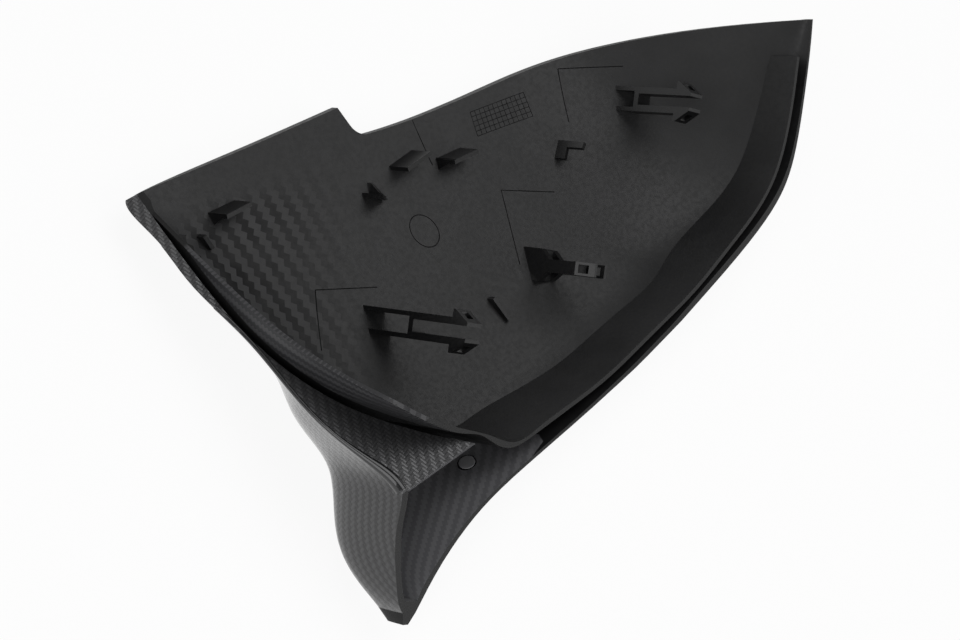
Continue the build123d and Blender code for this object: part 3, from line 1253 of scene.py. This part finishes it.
@dataclass
class Studio:
    """White floor, soft lamps and the camera, which is placed in the mould frame."""

    mould: MouldFrame
    sweep_foot: float = 2.0
    sweep_depth: float = 1.2
    sweep_height: float = 1.2
    sweep_steps: int = 24
    floor_steps: int = 96
    floor_tone: float = 0.9
    floor_rough: float = 0.9
    shadow_share: float = 0.09
    sky: float = 0.14
    camera_place: Place = (-540.1, 34.5, 445.3)
    camera_lean: float = 50.0
    camera_roll: float = 7.5
    lens: float = 90.0
    sensor: float = 36.0
    lamps: tuple[Lamp, ...] = (
        Lamp("overhead", (0.48, 0.18, 1.28), 1.15, 8.5),
        Lamp("front", (-0.95, 0.10, 0.80), 0.9, 6.0),
        Lamp("rear", (0.20, -1.15, 0.85), 1.0, 6.0),
    )

    def lay_floor(self) -> None:
        """Lays the floor and the backdrop round it, white to the camera and in reflections.

        A profile is turned about the upright axis: flat out to the backdrop's foot, then a quarter of an
        ellipse up to the backdrop's height. A small share of the true floor keeps the cover's shadow.
        """
        turn = np.linspace(0, 2 * math.pi, self.floor_steps)
        rise = np.linspace(0, math.pi / 2, self.sweep_steps)
        radius = np.append(0.0, self.sweep_foot + self.sweep_depth * np.sin(rise))[:, None]
        level = np.append(0.0, self.sweep_height * (1 - np.cos(rise)))[:, None]
        points = np.stack([radius * np.cos(turn), radius * np.sin(turn), level + 0 * turn], axis=2)
        mesh = bpy.data.meshes.new("studio_floor")
        mesh.from_pydata(points.reshape(-1, 3).tolist(), [], quads(len(radius), len(turn)).tolist())
        floor = bpy.data.objects.new("studio_floor", mesh)
        bpy.context.scene.collection.objects.link(floor)
        board = NodeBoard("studio_floor")
        tone = (self.floor_tone, self.floor_tone, self.floor_tone, 1.0)
        board.shader.inputs["Base Color"].default_value = tone
        board.shader.inputs["Roughness"].default_value = self.floor_rough
        path = board.add("ShaderNodeLightPath").outputs
        seen = board.math("MAXIMUM", path["Is Camera Ray"], path["Is Glossy Ray"])
        seen = board.math("MAXIMUM", seen, path["Is Transmission Ray"])
        white = board.add("ShaderNodeEmission")
        both = board.add("ShaderNodeMixShader")
        board.feed(both.inputs[0], board.math("MULTIPLY", seen, 1 - self.shadow_share))
        board.feed(both.inputs[1], board.shader.outputs[0])
        board.feed(both.inputs[2], white.outputs[0])
        board.feed(board.tree.nodes["Material Output"].inputs["Surface"], both.outputs[0])
        mesh.materials.append(board.material)

    def light(self) -> None:
        """Hangs the lamps and sets the world to an even dim grey."""
        for lamp in self.lamps:
            lamp.hang()
        world = bpy.data.worlds.new("studio")
        bpy.context.scene.world = world
        world.use_nodes = True
        background = world.node_tree.nodes["Background"].inputs
        background["Color"].default_value = (1.0, 1.0, 1.0, 1.0)
        background["Strength"].default_value = self.sky

    def aim(self) -> None:
        """Sets up the camera from its lean about the mould's second axis and its roll."""
        lean, roll = math.radians(self.camera_lean), math.radians(self.camera_roll)
        level, second = np.array([math.cos(lean), 0, math.sin(lean)]), np.array([0.0, 1.0, 0.0])
        right = math.cos(roll) * level + math.sin(roll) * second
        up = math.cos(roll) * second - math.sin(roll) * level
        back = np.array([-math.sin(lean), 0, math.cos(lean)])
        axes = Matrix((self.mould.turn() @ np.stack([right, up, back], axis=1)).tolist())
        camera = bpy.data.cameras.new("camera")
        camera.lens, camera.sensor_width = self.lens, self.sensor
        holder = bpy.data.objects.new("camera", camera)
        bpy.context.scene.collection.objects.link(holder)
        place = self.mould.out(np.array(self.camera_place))
        holder.matrix_world = Matrix.Translation(place.tolist()) @ axes.to_4x4()
        bpy.context.scene.camera = holder

    def build(self) -> None:
        """Sets the whole studio up, with the Standard view transform."""
        self.lay_floor()
        self.light()
        self.aim()
        bpy.context.scene.view_settings.view_transform = "Standard"
        log.info("studio: %d lamps", len(self.lamps))


def main() -> None:
    """Builds the studio and the cover's pieces."""
    logging.basicConfig(level=logging.INFO, format="%(name)s %(message)s")
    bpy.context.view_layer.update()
    mould, skin, ledge = MouldFrame(), FrontSkin(), Ledge()
    finishes = {
        Face.PLASTIC: MouldedPlastic().material(),
        Face.LACQUER: LacqueredTwill().material(),
        Face.POCKET: SatinTwill().material(),
        Face.EDGE: TrimmedEdge().material(),
        Face.STANDING: StandingPlastic().material(),
        Face.COLLAR: CollarTwill(mould, ledge).material(),
        Face.LEDGE: LacqueredTwill(
            "ledge_twill", warp=(0.115, 0.115, 0.118, 1.0), weft=(0.068, 0.068, 0.070, 1.0)
        ).material(),
    }
    Studio(mould).build()
    shell = CoverShell(mould, skin, ledge, finishes)
    shell.build()
    CreaseBead(mould, skin, ledge).build(finishes[Face.LACQUER])
    MouldMarks(mould, shell.ground()).build(WitnessLine().material())
    # The gate disc's pale greys are painted light, so that it reads lit against the pocket's shaded wall.
    gate_lit_finish = SatinTwill("gate_plastic_lit", warp=(0.26, 0.26, 0.27, 1.0), weft=(0.19, 0.19, 0.2, 1.0))
    GateMark(mould).build(gate_lit_finish.material())
    # A larger, lower disc in the black edge finish: painted shade round the raised gate.
    gate_shade_ring = GateMark(mould, name="gate_shade_ring", half_width=3.2, half_length=4.0, proud=0.3)
    gate_shade_ring.build(finishes[Face.EDGE])


if __name__ == "__main__":
    main()
